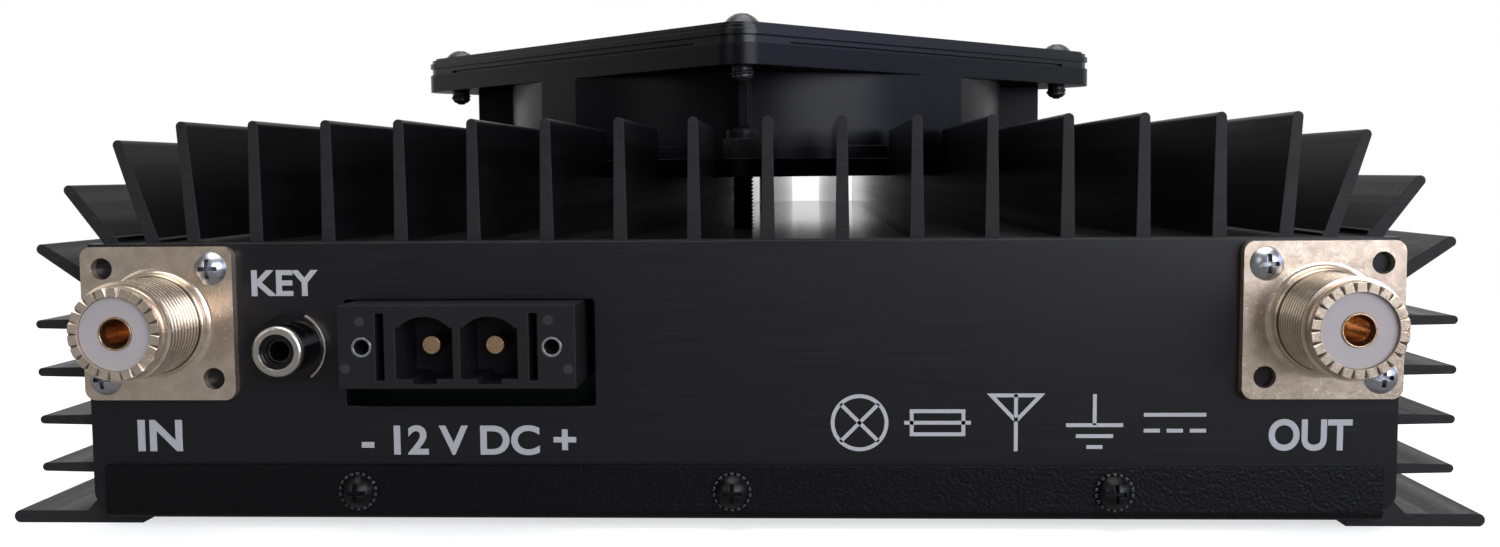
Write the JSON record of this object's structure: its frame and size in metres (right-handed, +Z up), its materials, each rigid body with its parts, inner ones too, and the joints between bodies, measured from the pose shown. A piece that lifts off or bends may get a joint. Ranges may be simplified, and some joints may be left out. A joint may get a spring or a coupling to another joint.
{
  "type": "radio frequency linear amplifier",
  "caption": "Radio-frequency power amplifier in a black finned housing with an axial fan on top, coaxial sockets and a power header at one end.",
  "frame": {"origin": "middle of the rectangle that the object covers, on the surface its feet stand on", "axes": "+Z up, -Y towards the connector end, +X to the right as seen facing the connector end"},
  "size_m": [0.2452, 0.3114, 0.0894],
  "materials": {
    "anodised_housing": "black anodised extrusion, satin",
    "brushed_panel": "black anodised sheet, brushed lengthwise",
    "textured_cover": "black powder coat with orange-peel texture",
    "black_screws": "blackened steel",
    "fan_screw_steel": "worn black zinc",
    "plated_steel": "bright zinc plate",
    "nickel_plate": "warm nickel plate",
    "white_insulator": "white fluoropolymer",
    "gold_contact": "gold-plated brass",
    "jack_contact": "dull plated spring, in shade",
    "jack_nickel": "satin nickel plate",
    "jack_plastic": "black moulding",
    "header_plastic": "black glass-filled moulding",
    "circuit_board": "green solder mask",
    "fan_plastic": "black moulding, semi-gloss",
    "guard_plastic": "black moulding, semi-gloss",
    "magnet_ferrite": "sintered ferrite",
    "stator_copper": "enamelled copper",
    "transistor_ceramic": "ceramic cap on a plated flange",
    "relay_case": "pale moulding",
    "capacitor_sleeve": "blue sleeve",
    "mica_brown": "dipped",
    "switch_plastic": "black moulding",
    "power_button_red": "red moulding",
    "button_grey": "dark grey moulding",
    "light_lens": "clear light pipe"
  },
  "bodies": {
    "chassis": {"heatsink_housing": "anodised_housing", "foot_rails": "anodised_housing", "top_fins": "anodised_housing", "fan_bed_fins": "anodised_housing", "connector_panel": "brushed_panel", "control_panel": "brushed_panel", "bottom_cover": "textured_cover", "cover_screws": "black_screws", "control_panel_screws": "black_screws", "fan_studs": "black_screws", "fan_nuts": "black_screws", "fan_screws": "fan_screw_steel", "cover_washers": "fan_screw_steel", "press_nuts": "plated_steel", "socket_screws": "plated_steel", "header_inserts": "plated_steel", "board_posts": "plated_steel", "board_spacers": "plated_steel", "board_screws": "plated_steel", "transistor_screws": "plated_steel", "control_posts": "plated_steel", "control_board_screws": "plated_steel", "fan_bearings": "plated_steel", "input_socket_shell": "nickel_plate", "output_socket_shell": "nickel_plate", "input_socket_insulator": "white_insulator", "output_socket_insulator": "white_insulator", "input_socket_contact": "gold_contact", "output_socket_contact": "gold_contact", "power_pins": "gold_contact", "key_jack_contact": "jack_contact", "key_jack_sleeve": "jack_nickel", "key_jack_ring": "jack_nickel", "key_jack_bezel": "jack_plastic", "key_jack_insulator": "jack_plastic", "power_header": "header_plastic", "connector_board": "circuit_board", "rf_board": "circuit_board", "control_board": "circuit_board", "fan_frame": "fan_plastic", "fan_guard": "guard_plastic", "input_transformer": "magnet_ferrite", "output_transformer": "magnet_ferrite", "fan_stator": "stator_copper", "filter_coils": "stator_copper", "power_transistors": "transistor_ceramic", "changeover_relays": "relay_case", "supply_capacitors": "capacitor_sleeve", "mica_capacitors": "mica_brown", "switch_bodies": "switch_plastic", "status_lights": "light_lens"},
    "rotor": {"fan_rotor": "fan_plastic", "fan_magnet": "magnet_ferrite", "fan_shaft": "plated_steel"},
    "power_key": {"power_button": "power_button_red"},
    "mode_key": {"mode_button": "button_grey"},
    "band_key": {"band_button": "button_grey"}
  },
  "joints": [
    {"name": "fan_spin", "type": "hinge", "parent": "chassis", "child": "rotor", "pos_m": [0, -0.01818, 0.07], "axis": [0, 0, 1], "continuous": true},
    {"name": "power_press", "type": "slide", "parent": "chassis", "child": "power_key", "axis": [0, -1, 0], "range_m": [0, 0.002], "stiffness_N_per_m": 500, "springref_m": -0.001},
    {"name": "mode_press", "type": "slide", "parent": "chassis", "child": "mode_key", "axis": [0, -1, 0], "range_m": [0, 0.001], "stiffness_N_per_m": 500, "springref_m": -0.001},
    {"name": "band_press", "type": "slide", "parent": "chassis", "child": "band_key", "axis": [0, -1, 0], "range_m": [0, 0.001], "stiffness_N_per_m": 500, "springref_m": -0.001}
  ]
}
